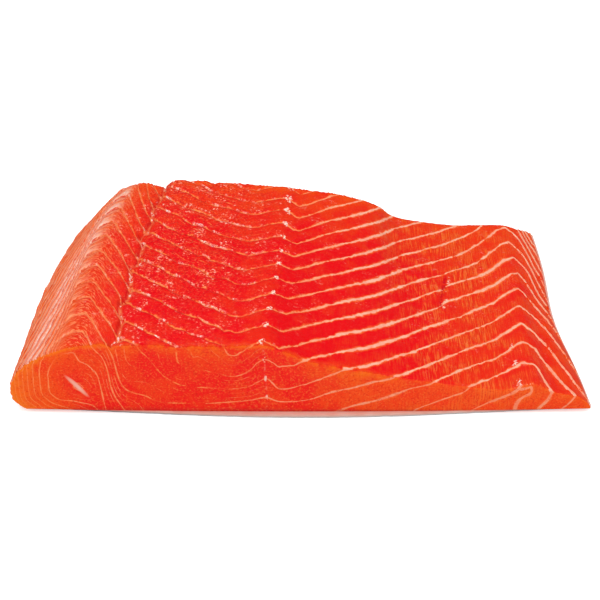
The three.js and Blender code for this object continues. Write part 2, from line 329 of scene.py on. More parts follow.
def flake_by_depth(s, v):
    """The wall number from the four depths, where v runs from 0 on the skin to 1 at the rim."""
    s = s - CENTRE_LEAN * (1 - v) * bell((s - CENTRE) / 1.5)
    depths = np.stack([along_folded(WALLS[:, 0], s)] + [along(WALLS[:, k], s) for k in (1, 2, 3)])
    place = (1 - v) * 3
    i = np.clip(np.floor(place).astype(int), 0, 2)
    picks = [np.take_along_axis(depths, np.clip(i + k, 0, 3)[None], axis=0)[0] for k in (-1, 0, 1, 2)]
    return spline(*picks, place - i)


def flake_in_rings(s, v, y):
    """The wall number from the distance to the seed, measured against the edge beyond the point."""
    edge_s = np.concatenate(
        [np.linspace(RING_RIM_END, 0, RING_STEPS), np.linspace(0, RING_FOOT_END, RING_STEPS)])
    on_rim = np.arange(len(edge_s)) < RING_STEPS
    rim_x, rim_z = outline(edge_s, 0 * edge_s - HALF_LENGTH)
    edge_x = np.where(on_rim, rim_x, foot_point(edge_s, 0 * edge_s - HALF_LENGTH)[:, 0])
    edge_z = np.where(on_rim, rim_z, SKIN_THICKNESS)
    edge_wall = np.where(on_rim, along(WALLS[:, 0], edge_s), along(WALLS[:, 3], edge_s))
    cx, cz = RING_CENTRE
    angle = np.arctan2(edge_z - cz, -(edge_x - cx))  # 0 points at the thick end, and so never jumps there
    order = np.argsort(angle)
    x0, z0 = foot_point(s, 0 * s - HALF_LENGTH)[..., 0], SKIN_THICKNESS
    (x1, z1), (nx, nz) = outline(s, 0 * s - HALF_LENGTH), outward(s, 0 * s + y)
    height = relief(s, 0 * s + y, flake_at(s, 0 * s + y))
    x, z = x0 + (x1 + nx * height - x0) * v, z0 + (z1 + nz * height - z0) * v
    here = np.arctan2(z - cz, -(x - cx))
    reach = np.interp(here, angle[order], np.hypot(edge_x - cx, edge_z - cz)[order])
    wall = np.interp(here, angle[order], edge_wall[order])
    share_out = np.clip(np.hypot(x - cx, z - cz) / reach, 0, 1)
    return RING_CENTRE_WALL + (wall - RING_CENTRE_WALL) * share_out**RING_CROWDING


def flake_in_cut(s, v, y):
    """The wall number in either cut, made to agree with the top at the rim."""
    ringed = 1 - smoothstep(s, *RINGS_FADE)
    front = flake_by_depth(s, v) * (1 - ringed) + flake_in_rings(s, v, y) * ringed
    moved_on = flake_at(s, y) - along_folded(WALLS[:, 0], s)
    return front + moved_on * (v**2 if y < 0 else 1)


under_centre = flake_by_depth(np.array([CENTRE, CENTRE]), np.array([0.0, 1.0]))
print("walls under the centre line in the front cut:", under_centre.round(1), "from the skin to the rim")

# %% [markdown]
# ## Relief
#
# On the steep side the flakes overlap like leaves, and each ends in several thinner ones whose edges
# all run along the fish. On top of the loin they bulge a little between their walls, a crease parts
# the shoulder from the loin, and the pale walls near the belly stand a hair proud of the red. These
# forms go into the mesh, because a bump in a material can't break the outline or catch the light
# from the side. Only the finest grain is left to the material.

# %% Relief of the leaves and the walls, millimetres
LEAF_STEP, LEAF_RIDGE = 0.9, 0.16
LEAF_STATIONS = (0, 1, 2.3, 3, 3.75, 4.5, 4.8, 5.05, 5.35)
LEAF_SHIFT = (-10.7, -6.5, -2.5, -2.1, -3.2, -3.25, -2.7, -2, 0)  # in flakes
FLAKE_BULGE = 0.35
WALL_NOTCH, WALL_PROUD = 0.22, 0.16
BELLY_TEETH = 0.5


def leaf_number(s, flake):
    """Whole at the edges of the thin leaves, as the wall number is at the walls."""
    return flake + np.interp(s, LEAF_STATIONS, LEAF_SHIFT)


def leaf_relief(s, flake, to_wall):
    """Overlapping steps on the steep side, low where they crowd, with thin ridges over them."""
    part, steep = flake % 1, 1 - smoothstep(s, CREST - 1.5, CREST + 1)
    height = by_station(s, foot=0.5, widest=0.5, side=0.15, upper_side=0.15, shoulder=0.35, crest=1)
    step = LEAF_STEP * steep * height * (part - 0.4 - 0.4 * bell(to_wall / 0.4))
    ridge = LEAF_RIDGE * (1 - smoothstep(s, 4.8, 5.6)) * np.sin(2 * np.pi * leaf_number(s, flake))
    return step + ridge


def wall_relief(s, flake, to_wall):
    """Bulging flakes with notched walls on the loin, and proud walls and a toothed edge at the belly."""
    part, flat = flake % 1, smoothstep(s, CREST - 1.5, CREST + 1)
    right = smoothstep(s, CENTRE + 1, CENTRE + 3)
    bulge = FLAKE_BULGE * flat * (1 - 0.6 * right) * (1 - (2 * part - 1) ** 2) ** 0.7
    notch = WALL_NOTCH * flat * (1 - right) * bell(to_wall / 0.5)
    proud = WALL_PROUD * right * bell(to_wall / 0.55)
    teeth = BELLY_TEETH * smoothstep(s, LAST - 4, LAST - 2.5) * (part - 0.5)
    return bulge - notch + proud + teeth


front_leaves = leaf_number(np.arange(CREST), WALLS[:CREST, 0])
print("leaves that end on the thick back's front rim:", int(np.ptp(front_leaves)))

# %% Relief of the furrows, the flecks and the grain, millimetres
GROOVE_DEPTH, CREASE_DEPTH = 0.7, 0.9
NICK_DEPTH, NICK_REACH_ALONG, NICK_REACH_ACROSS = 2.2, 9, 0.45
SMALL_NICK_DEPTH, SMALL_NICK_STATION = 0.9, LOIN + 0.55
GASH_DEPTH = 0.35
FLECK_HEIGHT = 0.35
GRAIN, LOIN_GRAIN, SWELLS = 0.12, 0.12, 0.3
CUT_CALM = 1.5  # how near a cut the grain fades, because the knife leaves the rim even


def fleck_station(y):
    """The row of pale flecks on the centre line, where the fine bones end."""
    return CENTRE - 0.1 + 0.4 * share(y) + centre_drift(y)


def furrows(s, y, flake):
    """The groove with its crease, two nicks at the rear cut and the gash, as depths."""
    crease_away, to_rear = s - crease_station(y, flake), HALF_LENGTH - y
    depth = GROOVE_DEPTH * bell((s - GROOVE) / 0.5) + CREASE_DEPTH * bell(crease_away / 0.11)
    nick = NICK_DEPTH * bell((s - GROOVE - 0.5) / NICK_REACH_ACROSS) * bell(to_rear / NICK_REACH_ALONG)
    small_nick = SMALL_NICK_DEPTH * bell((s - SMALL_NICK_STATION) / 0.16) * bell(to_rear / 7)
    gash = GASH_DEPTH * bell((s - gash_station(y)) / 0.05) * gash_here(y)
    return depth + nick + small_nick + gash


def grain(s, y):
    """Torn fibres of about a millimetre over soft swells, roughest on the loin."""
    x, z = outline(s, y)
    rough = GRAIN + LOIN_GRAIN * bell((s - LOIN) / 2.5)
    torn = np.abs(soft_noise(x / 1.7, y / 1.7, z / 1.7 + 9)) - 0.2
    fine = rough * (soft_noise(x / 1.1, y / 1.1, z / 1.1) - 1.5 * torn)
    swells = SWELLS * soft_noise(x / 7, y / 7, z / 7 + 5)
    return (fine + swells) * (1 - 0.7 * np.exp(-(HALF_LENGTH - np.abs(y)) / CUT_CALM))


def relief(s, y, flake):
    """All of it together. It fades where the surface meets the skin."""
    to_wall = np.minimum(flake % 1, 1 - flake % 1) * along(SPACING, s)
    fleck = FLECK_HEIGHT * bell((s - fleck_station(y)) / 0.14) * bell(to_wall / 1.1)
    height = leaf_relief(s, flake, to_wall) + wall_relief(s, flake, to_wall)
    height = height - furrows(s, y, flake) + fleck + grain(s, y)
    return height * smoothstep(s, 0, 1) * (1 - smoothstep(s, LAST - 1.5, LAST - 0.8))


trial_s, trial_y = np.meshgrid(np.linspace(1, LAST - 2, 50), np.linspace(-45, 45, 50))
trial = relief(trial_s, trial_y, flake_at(trial_s, trial_y))
print("relief from", trial.min().round(2), "to", trial.max().round(2), "mm")

# %% Points of the surface and of the cuts
CUT_UNEVEN, CUT_ROUGH, CUT_WALL_NOTCH = 0.35, 0.06, 0.12
CUT_FLAKE, CUT_WALL_HALF = 9, 0.5  # a flake's usual thickness, and the reach of the notch at a wall


def surface_point(s, y, flake):
    (x, z), (nx, nz) = outline(s, y), outward(s, y)
    height = relief(s, y, flake)
    x, z = x + nx * height, z + nz * height
    return np.stack([x, y - bow(x, y), z], axis=-1)


def cut_point(s, v, y, flake):
    """A point of a cut. The knife leaves it smooth but a little uneven, and it drags at the walls."""
    rim, foot = surface_point(s, y, flake_at(s, y)), foot_point(s, y)
    point, side = foot + (rim - foot) * v[..., None], np.sign(y)
    to_wall = (0.5 - np.abs(flake % 1 - 0.5)) * CUT_FLAKE / CUT_WALL_HALF
    inside = np.clip(4 * v * (1 - v), 0, 1) * smoothstep(rim[..., 2] - foot[..., 2], 0, 3)
    waves = CUT_UNEVEN * soft_noise(point[..., 0] / 9, point[..., 2] / 6, side * 7 + 0 * s)
    rough = CUT_ROUGH * soft_noise(point[..., 0] / 1.5, point[..., 2] / 1.5, side * 3 + 0 * s)
    point[..., 1] += side * inside * (waves + rough - CUT_WALL_NOTCH * bell(to_wall))
    return point


rim = surface_point(np.array([CREST + 0.0]), np.array([-HALF_LENGTH + 0.0]), WALLS[CREST:CREST + 1, 0])
print("the crest at the front cut, mm:", rim[0].round(1))

# %% [markdown]
# ## The flesh as a woven mesh
#
# Each surface starts as a grid from bmesh and is then moved into place by the formulas. On the top
# and the sides the grid's rows follow the walls, so that a wall always lies on an edge of the mesh
# and its step stays sharp. Rows that would run past a cut are held on it. Welding then closes the
# sheets into one body. Sculpting, or carving a smooth block, would need far more faces for less.

# %% Sheets
COLUMNS_PER_STATION = {"foot": 6, "thin edge": 3}  # short stretches, and 18 elsewhere
COLUMNS = np.concatenate([
    np.linspace(i, i + 1, COLUMNS_PER_STATION.get(name, 18), endpoint=False)
    for i, name in enumerate(NAMES[:-1])
] + [[LAST]])
PARTS = np.array([0.012, 0.045, 0.09, 0.16, 0.25, 0.36, 0.5, 0.64, 0.75, 0.84, 0.91, 0.955, 0.988])
FIRST_WALL, LAST_WALL = -4, 18
SNAP_TO_CUT = 0.15
CUT_SHARES = np.linspace(0, 1, 15)
WIDEST_GAP = 30  # walls further apart than this are left out of the reckoning


def wall_gap(points, flakes):
    """How far apart the walls lie at each point of a grid, square to them along the surface."""
    (across, down), (a, b) = np.gradient(points, axis=(0, 1)), np.gradient(flakes)
    e, f, g = ((p * q).sum(axis=-1) for p, q in ((across, across), (across, down), (down, down)))
    steepness = (g * a * a - 2 * f * a * b + e * b * b) / np.maximum(e * g - f * f, 1e-9)
    return 1 / np.sqrt(np.maximum(steepness, WIDEST_GAP**-2))


def sheet(points, material_index, **stored):
    """A bmesh grid whose vertex (i, j) lies at points[i, j], with named values stored on each vertex."""
    columns, rows = points.shape[:2]
    bm = bmesh.new()
    bmesh.ops.create_grid(bm, x_segments=columns - 1, y_segments=rows - 1, size=0.5)
    layers = [bm.verts.layers.float.new(name) for name in stored]
    for vertex in bm.verts:
        i, j = round((vertex.co.x + 0.5) * (columns - 1)), round((vertex.co.y + 0.5) * (rows - 1))
        vertex.co = points[i, j]
        for layer, values in zip(layers, stored.values()):
            vertex[layer] = values[i, j]
    for face in bm.faces:
        face.material_index = material_index
        face.smooth = True
    mesh = bpy.data.meshes.new("sheet")
    bm.to_mesh(mesh)
    bm.free()
    return mesh


def top_sheet():
    flakes = np.concatenate([wall + PARTS for wall in range(FIRST_WALL, LAST_WALL)])[::-1]
    s, flake = np.meshgrid(COLUMNS, flakes, indexing="ij")
    y = along_fish(s, flake)
    x, z = outline(s, y)
    gap = wall_gap(np.stack([x, y, z], axis=-1), flake)
    front, rear = y < -HALF_LENGTH + SNAP_TO_CUT, y > HALF_LENGTH - SNAP_TO_CUT
    for held, cut in ((front, -HALF_LENGTH), (rear, HALF_LENGTH)):
        y = np.where(held, cut, y)
        rim_flake = flake_at(COLUMNS, 0 * COLUMNS + cut)
        flake = np.where(held, rim_flake[:, None], flake)
    points = surface_point(s, y, flake)
    drawn = flake + slip(s, y) + drag(s, y, flake)
    return sheet(points, 0, flake=drawn, station=s, along=y, depth=0 * s, gap=gap)


def cut_sheet(cut):
    s, v = np.meshgrid(COLUMNS, CUT_SHARES, indexing="ij")
    y = 0 * s + cut
    flake = flake_in_cut(s, v, cut)
    points = cut_point(s, v, y, flake)
    depth = points[:, -1:, 2] - points[..., 2]
    return sheet(points, 1, flake=flake, station=s, along=y, depth=depth, gap=wall_gap(points, flake))


sheets = [top_sheet(), cut_sheet(-HALF_LENGTH), cut_sheet(HALF_LENGTH)]
print("sheets of", [len(mesh.polygons) for mesh in sheets], "cells")

# %% Welding the sheets into one closed body
WELD = 0.004  # millimetres


def welded(meshes):
    bm = bmesh.new()
    for mesh in meshes:
        bm.from_mesh(mesh)
        bpy.data.meshes.remove(mesh)
    bmesh.ops.remove_doubles(bm, verts=bm.verts, dist=WELD)
    bmesh.ops.dissolve_degenerate(bm, edges=bm.edges, dist=WELD / 10)
    underside = [edge for edge in bm.edges if edge.is_boundary]
    heights = {round(vertex.co.z, 2) for edge in underside for vertex in edge.verts}
    print("underside edge:", len(underside), "edges, z", heights)
    filled = bmesh.ops.holes_fill(bm, edges=underside, sides=0)
    for face in filled["faces"]:
        face.material_index = 1
    bmesh.ops.triangulate(bm, faces=bm.faces, quad_method="SHORT_EDGE", ngon_method="BEAUTY")
    bmesh.ops.recalc_face_normals(bm, faces=bm.faces)
    if bm.calc_volume(signed=True) < 0:  # all agree, but they may all point inwards
        bmesh.ops.reverse_faces(bm, faces=bm.faces)
    open_edges = sum(not edge.is_manifold for edge in bm.edges)
    print("flesh:", len(bm.faces), "triangles,", open_edges, "open edges, volume",
          round(bm.calc_volume() / 1000, 1), "cubic centimetres")
    return bm


flesh_bm = welded(sheets)

# %% Softening the rims and placing the body in the frame
RIM_SOFTENING = 2  # rounds
SKIN_SIDE_LIP, SKIN_REAR_LIP, SKIN_LIP = 0.7, 0.4, 1.6  # how far the skin shows past the flesh
SKIN_RECESS, SKIN_LIP_SHARPNESS = 1.7, 1.5  # how far it hides at the ends of the front cut, and how fast
_, skin_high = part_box("skin")
SHIFT_X = skin_high.x / MM - (FRONT[-1, 0] + SKIN_SIDE_LIP)
SHIFT_Y = skin_high.y / MM - (HALF_LENGTH + SKIN_REAR_LIP)
print("the frame's origin is at", round(-SHIFT_X, 2), round(-SHIFT_Y, 2), "mm in the stations' own numbers")


def place_in_frame(bm):
    """From the stations' millimetres to the frame's metres."""
    bmesh.ops.translate(bm, verts=bm.verts, vec=(SHIFT_X, SHIFT_Y, 0))
    bmesh.ops.scale(bm, verts=bm.verts, vec=(MM, MM, MM))


def soften_rims(bm):
    """A knife's edge on flesh is round, so the vertices where a cut meets the top are smoothed."""
    for _ in range(RIM_SOFTENING):
        rims = [
            edge for edge in bm.edges
            if edge.link_faces[0].material_index != edge.link_faces[1].material_index
            and edge.verts[0].co.z > 2 * SKIN_THICKNESS
        ]
        verts = list({vertex for edge in rims for vertex in edge.verts})
        bmesh.ops.smooth_vert(bm, verts=verts, factor=0.5, use_axis_x=True, use_axis_y=True, use_axis_z=True)
    print("softened", len(verts), "points of the rims")


def finished(name, bm, materials=()):
    mesh = bpy.data.meshes.new(name)
    bm.to_mesh(mesh)
    bm.free()
    piece = bpy.data.objects.new(name, mesh)
    bpy.context.scene.collection.objects.link(piece)
    for material in materials:
        mesh.materials.append(material)
    print(name, "has", len(mesh.polygons), "faces")
    return piece


soften_rims(flesh_bm)
place_in_frame(flesh_bm)
flesh = finished("salmon_flesh", flesh_bm)

# %% [markdown]
# ## What the material has to know
#
# The look of the flesh changes from the back to the belly: the walls grow from fine orange threads
# to broad pink-white bands, the red turns to orange, and the fibres begin to show. These changes
# follow the stations, so they are written on the mesh as named values that the material reads. A
# picture painted over the piece would have been the other way, but it would stretch on the sides.

# %% Reading and writing values on the mesh
IN_CUT, ON_TOP = 0.3, 0.5  # depths below the surface, millimetres


def stored(piece, name):
    values = np.zeros(len(piece.data.vertices), np.float32)
    piece.data.attributes[name].data.foreach_get("value", values)
    return values.astype(float)


def store(piece, name, values):
    layer = piece.data.attributes.new(name, "FLOAT", "POINT")
    layer.data.foreach_set("value", np.asarray(values, np.float32))
    print(f"{name}: {values.min():.2f} to {values.max():.2f}")


station, along_y, depth, flake = (
    stored(flesh, name) for name in ("station", "along", "depth", "flake"))
in_cut, on_top = depth > IN_CUT, depth < ON_TOP
behind = smoothstep(along_y, 5, HALF_LENGTH)  # the far part dries to a more orange tone
print(int(in_cut.sum()), "of", len(station), "points lie in the cuts")

# %% Width of the walls, millimetres
LENS, LENS_VARIES = 0.35, 0.2  # each wall thickens at the foot of the fall, some of them more
SECOND_LENS, SECOND_LENS_STATION = 1.1, RIDGE - 0.5
THICK_WALLS = (10, 11)  # these thicken once more before the ridge, and the second ends abruptly
wall_width = by_station(
    station, foot=0.15, heel=0.25, side=0.28, shoulder=0.28, crest=0.26, groove=0.28, loin=0.26,
    left_valley=0.24, centre_line=0.26, right_valley=0.26, loin_brink=0.34, fall=0.44, slope=0.4,
    lower_slope=0.38, hollow=0.4, ridge=0.42, belly=0.34, lower_belly=0.2, thin_edge=0.12,
)
nearest = np.round(flake)
lens = bell((station - FALL_FOOT) / np.where(station < FALL_FOOT, 0.4, 0.6))
lens_end = np.where(nearest == THICK_WALLS[0], 0.35, 0.1)
lens_reach = np.where(station < SECOND_LENS_STATION, 0.65, lens_end)
second_lens = np.isin(nearest, THICK_WALLS) * bell((station - SECOND_LENS_STATION) / lens_reach)
wall_width = wall_width + lens * (LENS + LENS_VARIES * np.sin(nearest * 2.3)) + SECOND_LENS * second_lens
wall_width = wall_width * (1 + 1.6 * in_cut * smoothstep(station, RIDGE - 2, RIDGE - 0.5))
edge_walls = smoothstep(station, RIDGE, RIDGE + 1) * (1 - in_cut)  # they are thinner towards the rear
wall_width = wall_width * (1 - 0.6 * edge_walls * smoothstep(along_y, -45, -5))
store(flesh, "wall_width", wall_width)

# %% Strength, breaks and tone of the walls
top_strength = by_station(
    station, foot=0.1, side=0.2, upper_side=0.7, shoulder=1, crest=0.95, groove=0.85, loin=0.8,
    loin_fall=0.75, left_valley=0.7, centre_line=0.8, right_valley=0.95, fall=1, lower_belly=1,
    edge_foot=0.7,
)
cut_strength = by_station(
    station, foot=0.5, heel=0.7, side=0.8, shoulder=1, loin=0.8, fall=1, edge_foot=0.7)
under_crest = bell((station - CREST + 0.75) / 0.6) * (1 - smoothstep(depth, 5, 9))
open_top = under_crest * smoothstep(flake, 15.3, 15.7)  # the outermost rings stay open there
store(flesh, "wall_strength", np.where(in_cut, cut_strength * (1 - open_top), top_strength))
store(flesh, "breaks", by_station(
    station, foot=0.3, shoulder=0.3, shoulder_fall=0.3, groove=0.4, loin_edge=0.8, loin=1,
    loin_fall=1, left_valley=0.6, centre_line=0.35, right_valley=0.25, edge_foot=0.25,
))
top_tone = by_station(
    station, foot=0.6, side=1, upper_side=0.8, shoulder=0.5, crest=0.3, groove=0.15, loin=0.05,
    centre_line=0.2, right_valley=0.25, loin_brink=0.6, fall=0.9, fall_foot=1, lower_slope=0.85,
    ridge=0.9, edge_foot=0.8,
)
cut_tone = by_station(
    station, foot=0, side=0.05, shoulder=0.3, crest=0.45, groove=0.3, loin=0.15, centre_line=0.6,
    fall=0.7, lower_slope=0.6, edge_foot=0.7,
)
store(flesh, "wall_tone", np.where(in_cut, cut_tone, top_tone))

# %% Warmth, fibres and grains of the muscle
BEHIND_WARMS = 0.45  # how far the rear part goes towards orange
FRONT_GRAINS = 0.45  # the share of the grains that is left at the front
top_warmth = by_station(
    station, foot=1, widest=0.9, upper_side=0.9, shoulder=0.85, crest=0.38, groove=0.1,
    loin_edge=0.02, loin=0, left_valley=0.1, centre_line=0.1, right_valley=0, fall=0, fall_foot=0,
    slope=0, lower_slope=0.42, ridge=0.3, belly=0.35, edge_foot=0.9,
)
cut_warmth = by_station(
    station, foot=0.9, heel=0.8, side=0.5, shoulder=0.3, crest=0.2, groove=0.1, loin=0.05,
    centre_line=0.05, right_valley=0.1, fall=0.2, fall_foot=0.35, slope=0.45, lower_slope=0.5,
    ridge=0.5, edge_foot=0.7,
)
top_warmth = top_warmth + BEHIND_WARMS * behind * (1 - top_warmth)
store(flesh, "warmth", np.where(in_cut, cut_warmth, top_warmth))
store(flesh, "fibres", by_station(
    station, centre_line=0, loin_brink=0.1, fall=0.1, fall_foot=0.15, slope=0.55, lower_slope=1,
    hollow=0.8, ridge=0.4, belly=0.25, thin_edge=0,
))
further_back = FRONT_GRAINS + (1 - FRONT_GRAINS) * smoothstep(along_y, -38, -5)
store(flesh, "grains", further_back * by_station(
    station, foot=0.2, side=0.5, upper_side=0.4, shoulder=0.45, shoulder_fall=0.5, groove=0.8,
    loin_edge=1, loin=1, loin_fall=0.9, left_valley=0.6, right_valley=0.25, fall=0.15,
    fall_foot=0.15, slope=0.2, ridge=0.15, edge_foot=0.1,
))
store(flesh, "glints", on_top * by_station(
    station, shoulder=0.15, crest=0.3, shoulder_fall=0.4, groove=1, loin_edge=1, loin=0.9,
    loin_fall=0.6, left_valley=0.35, centre_line=0.25, right_valley=0.1, loin_brink=0,
))

# %% Thin leaves, the sheen and the crease
FLANK_LEAN, SHEEN_STATION, SHEEN_LEAN, SHEEN_REACH = 0.012, CREST - 1.05, 0.018, 0.45
leaves_in_cut = by_station(
    station, shoulder=0.2, crest=0.6, groove=1, loin_fall=0.9, left_valley=0.7, centre_line=0.3,
    right_valley=0,
)
leaves_on_top = smoothstep(along_y, -35, 0) * by_station(  # the loin is torn least at the front
    station, groove=0, loin_edge=0.6, loin=0.9, loin_fall=0.9, left_valley=0.5, centre_line=0)
store(flesh, "leaves", np.where(in_cut, leaves_in_cut, leaves_on_top))
store(flesh, "leaf_edges", leaf_number(station, flake))
on_flank = 1 - smoothstep(station - FLANK_LEAN * along_y, CREST - 0.9, CREST + 0.3)
in_sheen = bell((station - SHEEN_STATION - SHEEN_LEAN * along_y) / SHEEN_REACH)
store(flesh, "flank", (1 - in_cut) * on_flank)
store(flesh, "sheen", (1 - in_cut) * in_sheen)
store(flesh, "shoulder", (1 - in_cut) * bell((station - CREST) / 1.1))
crease_away = station - crease_station(along_y, flake)
store(flesh, "crease", bell(crease_away / 0.055) * on_top)
store(flesh, "crease_shade", bell((crease_away + 0.13) / 0.07) * on_top)

# %% Flecks and ridge glints, the rims, the gash and the belly's membrane
FLECK_IN_CUT, FLECK_ON_TOP = (0.09, 0.8), (0.15, 1.2)  # reach in stations and in millimetres
RIM_REACH = 3  # millimetres
wall_away = np.minimum(flake % 1, 1 - flake % 1) * along(SPACING, station)
centre = np.where(in_cut, CENTRE + CENTRE_LEAN * np.clip(depth / 20, 0, 1), fleck_station(along_y))
reach_across = np.where(in_cut, FLECK_IN_CUT[0], FLECK_ON_TOP[0] + 0.07 * behind)
reach_along = np.where(in_cut, FLECK_IN_CUT[1], FLECK_ON_TOP[1] + 1.3 * behind)
flecks = bell((station - centre) / reach_across) * bell(wall_away / reach_along)
# Pale marks near the front of the ridge are painted glints of the wet flesh, stored with the flecks.
ridge_glints = bell((station - RIDGE + 0.5) / 0.12) * (1 - smoothstep(along_y, -32, -22)) * on_top
ridge_glints = ridge_glints * bell((flake % 1 - 0.82) / 0.16)
store(flesh, "flecks", np.maximum(flecks, 0.7 * ridge_glints))
store(flesh, "seam", in_cut * bell((station - centre) / 0.035))
to_rim = np.where(depth > 0, depth, np.minimum(3 * (along_y + HALF_LENGTH), HALF_LENGTH - along_y))
weaker_right = 1 - 0.7 * smoothstep(station, FALL_FOOT - 0.5, SLOPE + 1)
store(flesh, "rim", np.exp(-to_rim / RIM_REACH) * weaker_right)
past_gash, beside_gash = station - gash_station(along_y), gash_here(along_y) * on_top
store(flesh, "gash", bell(past_gash / 0.045) * beside_gash)
store(flesh, "gash_lip", bell((past_gash - 0.09) / 0.06) * beside_gash)
store(flesh, "membrane", smoothstep(station, LAST - 1.15, LAST - 0.85) * (1 - in_cut))

# %% [markdown]
# ## Materials
#
# Raw salmon is a wet, faintly see-through muscle. Light goes a few millimetres in and comes back
# red, so the shader has subsurface light, and a clear coat stands for the film of juice. The walls
# are fat and gristle, which is whiter and duller. One small function adds each shader node.

# %% A helper for nodes and colours
def colour(hex_code):
    """An sRGB hex colour as the linear values that the shader needs."""
    parts = [int(hex_code[i:i + 2], 16) / 255 for i in (0, 2, 4)]
    return [part / 12.92 if part <= 0.04045 else ((part + 0.055) / 1.055) ** 2.4 for part in parts] + [1]


def node(tree, kind, inputs=(), output=None, **settings):
    """Adds one node with its settings, fills its inputs with values or links, and gives back an output."""
    made = tree.nodes.new("ShaderNode" + kind)
    for name, value in settings.items():
        setattr(made, name, value)
    for key, value in dict(inputs).items():
        if isinstance(value, bpy.types.NodeSocket):
            tree.links.new(value, made.inputs[key])
        else:
            made.inputs[key].default_value = value
    shown = [socket for socket in made.outputs if socket.enabled]
    return made.outputs[output] if output is not None else shown[0] if shown else None


def per_mm(size):
    """A noise scale that gives features of this size in millimetres."""
    return 1 / (size * MM)


# %% Small helpers for the patterns
def value_of(tree, name):
    return node(tree, "Attribute", attribute_name=name, output="Fac")


def reckon(tree, operation, *values, clamp=False):
    return node(tree, "Math", dict(enumerate(values)), operation=operation, use_clamp=clamp)


def product(tree, *factors):
    result = factors[0]
    for factor in factors[1:]:
        result = reckon(tree, "MULTIPLY", result, factor)
    return result


def ramp(tree, value, start, end, low=0, high=1):
    """Rises smoothly from low at start to high at end. With start above end it falls."""
    if start > end:
        start, end, low, high = end, start, high, low
    return node(tree, "MapRange", {
        "Value": value, "From Min": start, "From Max": end, "To Min": low, "To Max": high,
    }, interpolation_type="SMOOTHSTEP")


def spread(tree, value, low, high=1):
    """A value from 0 to 1, spread evenly from low to high."""
    return node(tree, "MapRange", {"Value": value, "To Min": low, "To Max": high})


def mixed(tree, factor, first, second):
    """Two colours mixed. A hex code stands for a plain colour."""
    first, second = (colour(c) if isinstance(c, str) else c for c in (first, second))
    return node(tree, "Mix", {"Factor": factor, 6: first, 7: second}, data_type="RGBA")


def over(tree, base, paint, *factors):
    """The base with another colour laid over it, as far as all the factors let it show."""
    return mixed(tree, product(tree, *factors), base, paint)


def rough_noise(tree, place, size, detail, roughness=0.6):
    """Noise with features of a size in millimetres."""
    return node(tree, "TexNoise", {
        "Vector": place, "Scale": per_mm(size), "Detail": detail, "Roughness": roughness,
    })


def specks(tree, place, size, start, end, detail=3):
    """Spots of a size in millimetres. The further start and end lie from 0.5, the rarer they are."""
    return ramp(tree, rough_noise(tree, place, size, detail), start, end)


def grain_along(tree, across, through, start, end, whole_walls=False, numbers="flake"):
    """Noise that follows the muscle, with cells for each station across and each flake through."""
    flake_value = value_of(tree, numbers)
    if whole_walls:
        flake_value = reckon(tree, "ROUND", flake_value)
    x = product(tree, value_of(tree, "station"), across)
    y = product(tree, flake_value, through)
    place = node(tree, "CombineXYZ", {"X": x, "Y": y})
    pattern = node(tree, "TexNoise", {
        "Vector": place, "Scale": 1, "Detail": 3, "Roughness": 0.6, "Distortion": 0.4,
    })
    return ramp(tree, pattern, start, end)


# %% Walls that the materials draw
WOBBLE, CUT_WOBBLE = 0.8, 0.25  # millimetres that a wall strays where the flakes are thick
NARROW, BROAD = 0.55, 1.4  # a wall's width wavers between these shares of what is stored
FINE_LEAVES = 3  # thin lines that a torn or cut flake shows between its walls
FULL_GAP = 7  # millimetres between walls from which on they stray in full
WIDEST_SHARE = 0.09  # half a wall's width is at most this share of the gap to the next wall


def wall_lines(tree, place, thickness, wobble):
    """How far a point is a pale wall, and how far it lies in the warm edge beside one."""
    gap, leaves = value_of(tree, "gap"), value_of(tree, "leaves")
    ragged = rough_noise(tree, place, 1.8, 4, 0.65)
    room = ramp(tree, gap, 0, FULL_GAP)
    wave = product(tree, spread(tree, ragged, -wobble, wobble), room)
    breadth = specks(tree, place, 6, 0.3, 0.7, detail=2)
    breadth = spread(tree, breadth, NARROW * thickness, BROAD * thickness)
    width = product(tree, value_of(tree, "wall_width"), breadth)
    half = reckon(tree, "MINIMUM", width, product(tree, gap, WIDEST_SHARE))
    away = reckon(tree, "PINGPONG", value_of(tree, "flake"), 0.5)
    away_mm = reckon(tree, "ABSOLUTE", reckon(tree, "MULTIPLY_ADD", away, gap, wave))
    ratio = reckon(tree, "DIVIDE", away_mm, half)
    fold = reckon(tree, "PINGPONG", value_of(tree, "flake"), 0.5 / FINE_LEAVES)
    between = reckon(tree, "MULTIPLY_ADD", wave, 0.5, product(tree, fold, gap))
    between = reckon(tree, "DIVIDE", reckon(tree, "ABSOLUTE", between), half)
    fine = product(tree, ramp(tree, between, 0.9, 0.3), specks(tree, place, 5, 0.42, 0.58), leaves, 0.85)
    wall = reckon(tree, "MAXIMUM", ramp(tree, ratio, 1.2, 0.6), fine)
    return wall, ramp(tree, ratio, 2.4, 1)


# %% The colour of muscle
SALMON_IOR, JUICE_IOR = 1.38, 1.33
RED, ORANGE = "EC0512", "F24C0A"  # pulled surface, deep and warm
CUT_RED, CUT_ORANGE = "F8221A", "FC6614"  # cut surface
THREAD, FAT, WARM_EDGE = "FF9042", "FEBCA2", "FF7030"
DARK_STRAND, FIBRE = "E00A10", "FF8638"


def new_tree(name):
    material = bpy.data.materials.new(name)
    material.use_nodes = True
    material.node_tree.nodes.clear()
    return material, material.node_tree


